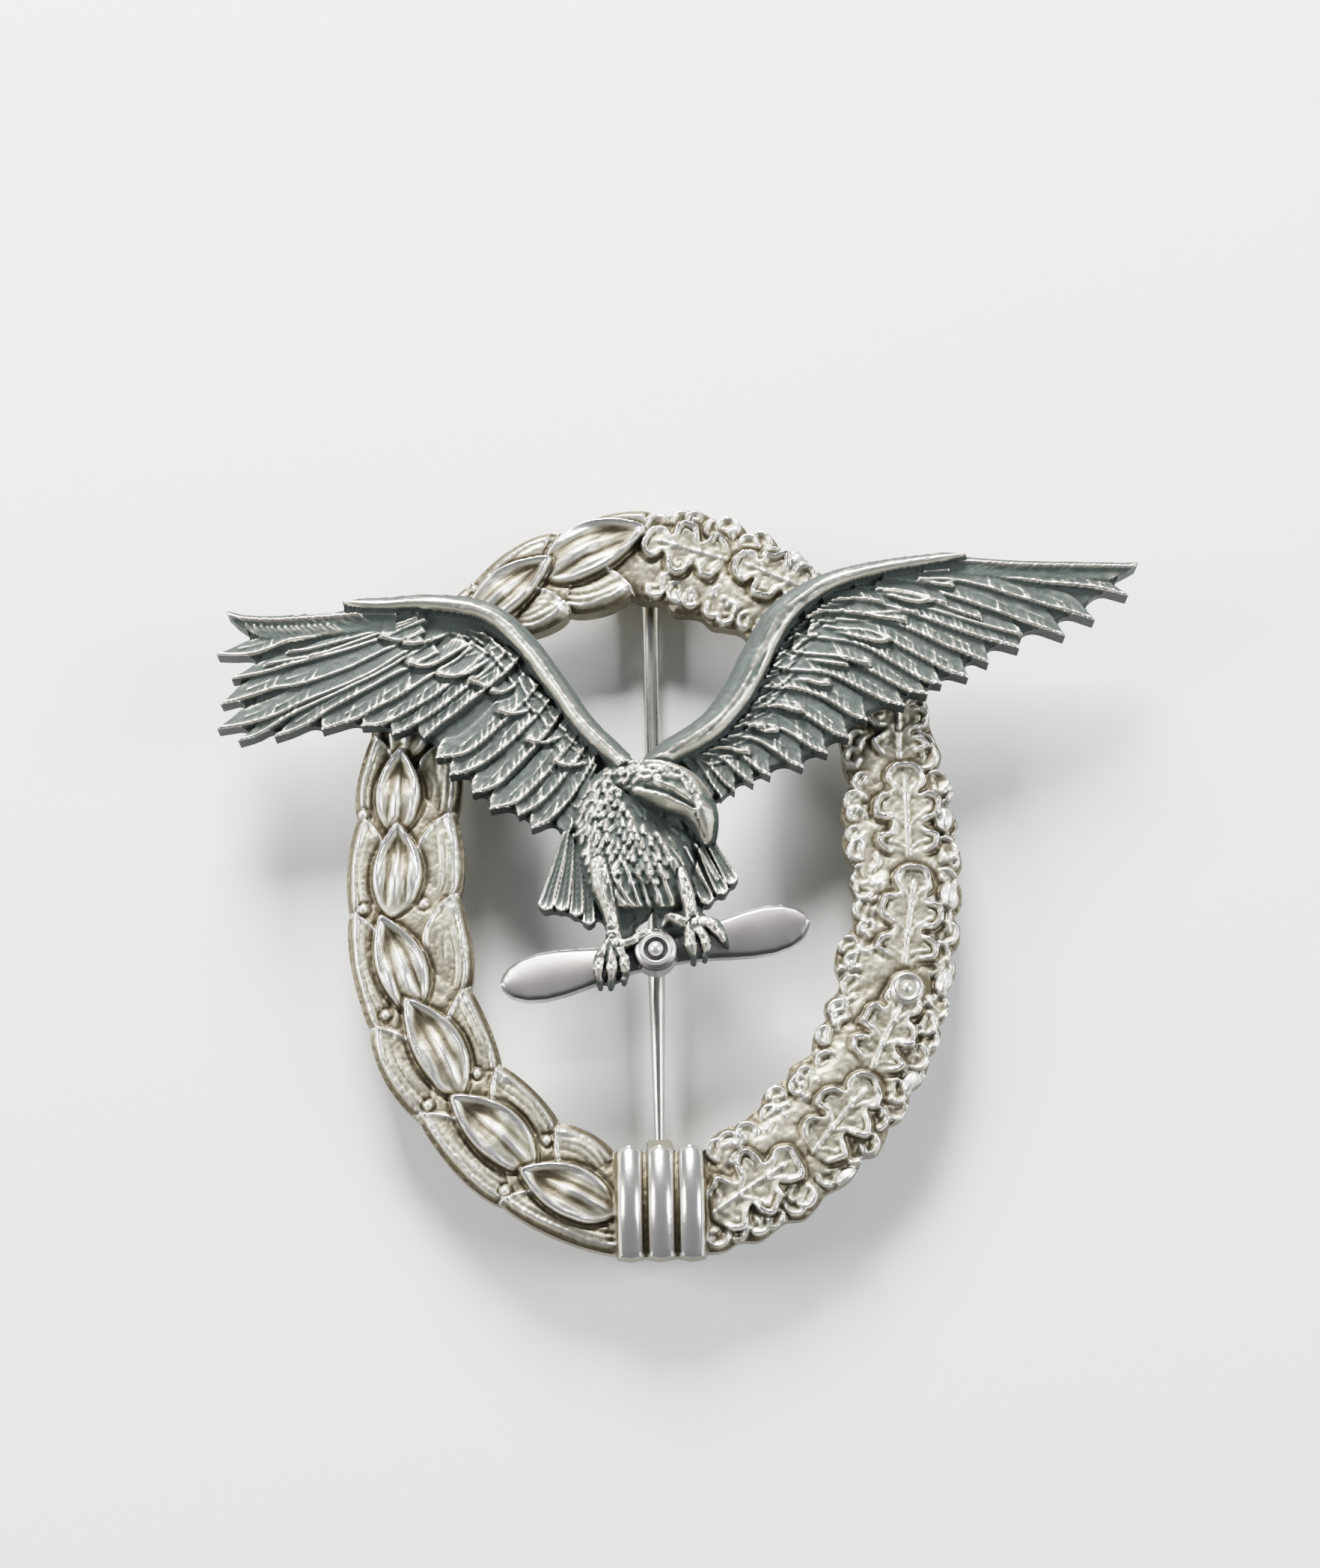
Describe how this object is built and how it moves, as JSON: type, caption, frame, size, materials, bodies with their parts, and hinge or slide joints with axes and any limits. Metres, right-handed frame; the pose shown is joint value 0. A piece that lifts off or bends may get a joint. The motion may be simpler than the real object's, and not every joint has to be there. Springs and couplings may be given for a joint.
{
  "type": "pilot wings pin",
  "caption": "Oval laurel and oak wreath badge with a spread-winged eagle holding a propeller, and a hinged needle with a clip catch on the back.",
  "frame": {"origin": "bottom centre of the bounding box of the badge lying face up, so z = 0 is the table under the hinge block and the catch", "axes": "+Z out of the face, +Y towards the top of the badge, +X towards the viewer's right, along the wings"},
  "size_m": [0.064, 0.0526, 0.0103],
  "materials": {
    "wreath_silver": "frosted silvered alloy with polished leaf edges and grey-brown tarnish in the recesses",
    "eagle_dark_silver": "oxidised dark grey silver, worn bright on the feather edges, head and chest",
    "emblem_silver": "smooth grey silver with polished edges",
    "back_metal": "satin nickel silver, lightly tarnished",
    "pin_steel": "nickelled steel wire, drawn lengthwise"
  },
  "bodies": {
    "badge": {"wreath": "wreath_silver", "eagle": "eagle_dark_silver", "propeller": "emblem_silver", "rivet_left": "back_metal", "rivet_right": "back_metal", "hinge_plate": "back_metal", "hinge_block": "back_metal", "hinge_pin": "pin_steel", "catch_plate": "back_metal", "catch_hook": "back_metal"},
    "needle": {"needle": "pin_steel"}
  },
  "joints": [
    {"name": "needle_hinge", "type": "hinge", "parent": "badge", "child": "needle", "pos_m": [-0.00195, 0.02229, 0.00135], "axis": [1, 0, 0], "range_deg": [0, 110]}
  ]
}
